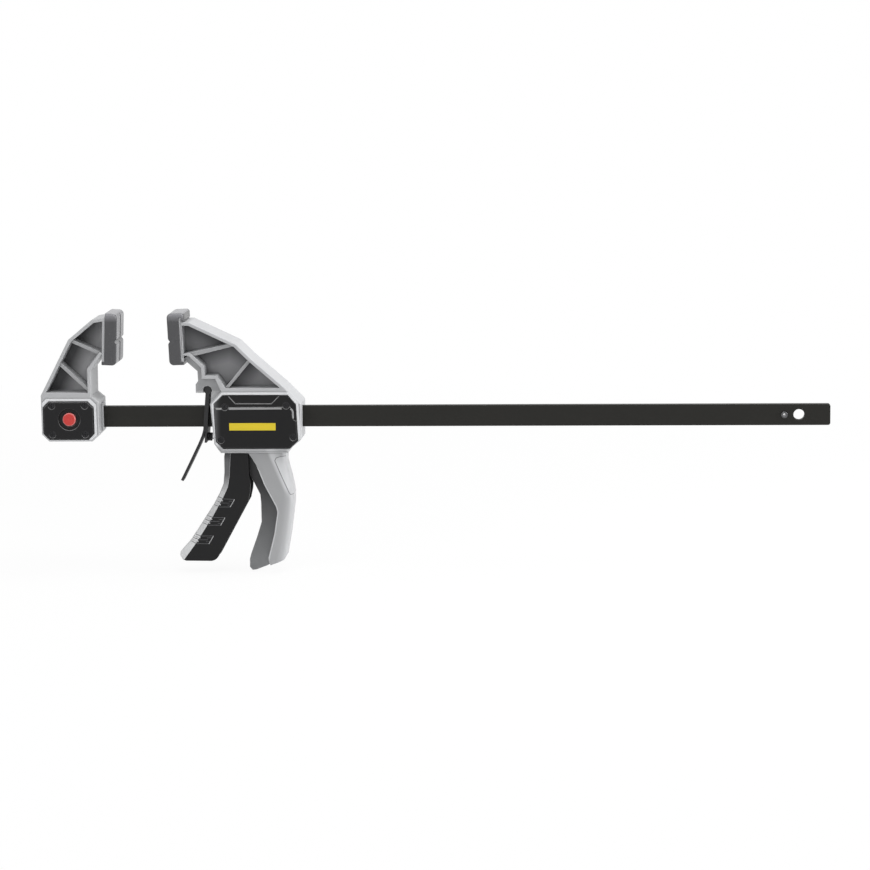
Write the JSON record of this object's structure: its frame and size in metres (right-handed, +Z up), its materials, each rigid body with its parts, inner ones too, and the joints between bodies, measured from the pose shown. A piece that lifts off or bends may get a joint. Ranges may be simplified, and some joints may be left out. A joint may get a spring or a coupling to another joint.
{
  "type": "quick release bar clamp",
  "caption": "One-hand bar clamp: a ribbed fixed jaw and a sliding trigger head with padded jaws on a flat steel bar.",
  "frame": {"origin": "on the bar's centre line, in the plane of the fixed pad's clamping face at its middle height", "axes": "+X along the bar towards its free end, +Z up the jaws, Y across"},
  "size_m": [0.6761, 0.039, 0.226],
  "materials": {
    "bar_steel": "dark oiled steel, satin",
    "bright_steel": "plain bright steel",
    "spring_steel": "drawn spring wire",
    "grey_nylon": "light grey glass-filled nylon",
    "black_plastic": "fine-textured black plastic",
    "trigger_black": "smooth black plastic",
    "grip_grey": "light grey plastic",
    "pad_rubber": "firm grey rubber",
    "button_red": "red plastic",
    "screw_black": "blackened steel"
  },
  "bodies": {
    "bar": {"bar": "bar_steel", "stop_pin": "bright_steel", "fixed_jaw_frame": "grey_nylon", "fixed_cover_front": "black_plastic", "fixed_cover_back": "black_plastic", "fixed_cover_screws": "screw_black", "fixed_jaw_pad": "pad_rubber", "button_spring": "spring_steel"},
    "button": {"lock_button": "button_red", "button_clip": "bright_steel"},
    "head": {"head_frame": "grey_nylon", "head_cover_front": "black_plastic", "head_cover_back": "black_plastic", "head_cover_screws": "screw_black", "moving_jaw_pad": "pad_rubber", "trigger_pivot_pin": "bright_steel", "drive_spring": "spring_steel", "brake_spring": "spring_steel"},
    "trigger": {"trigger": "trigger_black", "trigger_grip": "grip_grey"},
    "drive": {"drive_plates": "bright_steel"},
    "brake": {"brake_plate": "bright_steel", "release_lever": "screw_black", "brake_spring_cup": "black_plastic"}
  },
  "joints": [
    {"name": "head_slide", "type": "slide", "parent": "bar", "child": "head", "axis": [1, 0, 0], "range_m": [-0.0415, 0.407]},
    {"name": "trigger_hinge", "type": "hinge", "parent": "head", "child": "trigger", "pos_m": [0.103, 0, 0.0122], "axis": [0, -1, 0], "range_deg": [0, 12], "stiffness_Nm_per_rad": 6, "springref_deg": -6.88},
    {"name": "drive_slide", "type": "slide", "parent": "head", "child": "drive", "axis": [1, 0, 0], "range_m": [0, 0.0054], "deforming": ["drive_spring"]},
    {"name": "release_hinge", "type": "hinge", "parent": "head", "child": "brake", "pos_m": [0.0766, 0, 0.024], "axis": [0, -1, 0], "range_deg": [0, 3.5], "stiffness_Nm_per_rad": 1.5, "springref_deg": -6.88, "deforming": ["brake_spring"]},
    {"name": "lock_button_slide", "type": "slide", "parent": "bar", "child": "button", "axis": [0, 1, 0], "range_m": [0, 0.0062], "stiffness_N_per_m": 800, "springref_m": -0.002, "deforming": ["button_spring"]}
  ],
  "couplings": [
    {"joint": "drive_slide", "follows": "trigger_hinge", "m_per_rad": 0.0254}
  ]
}
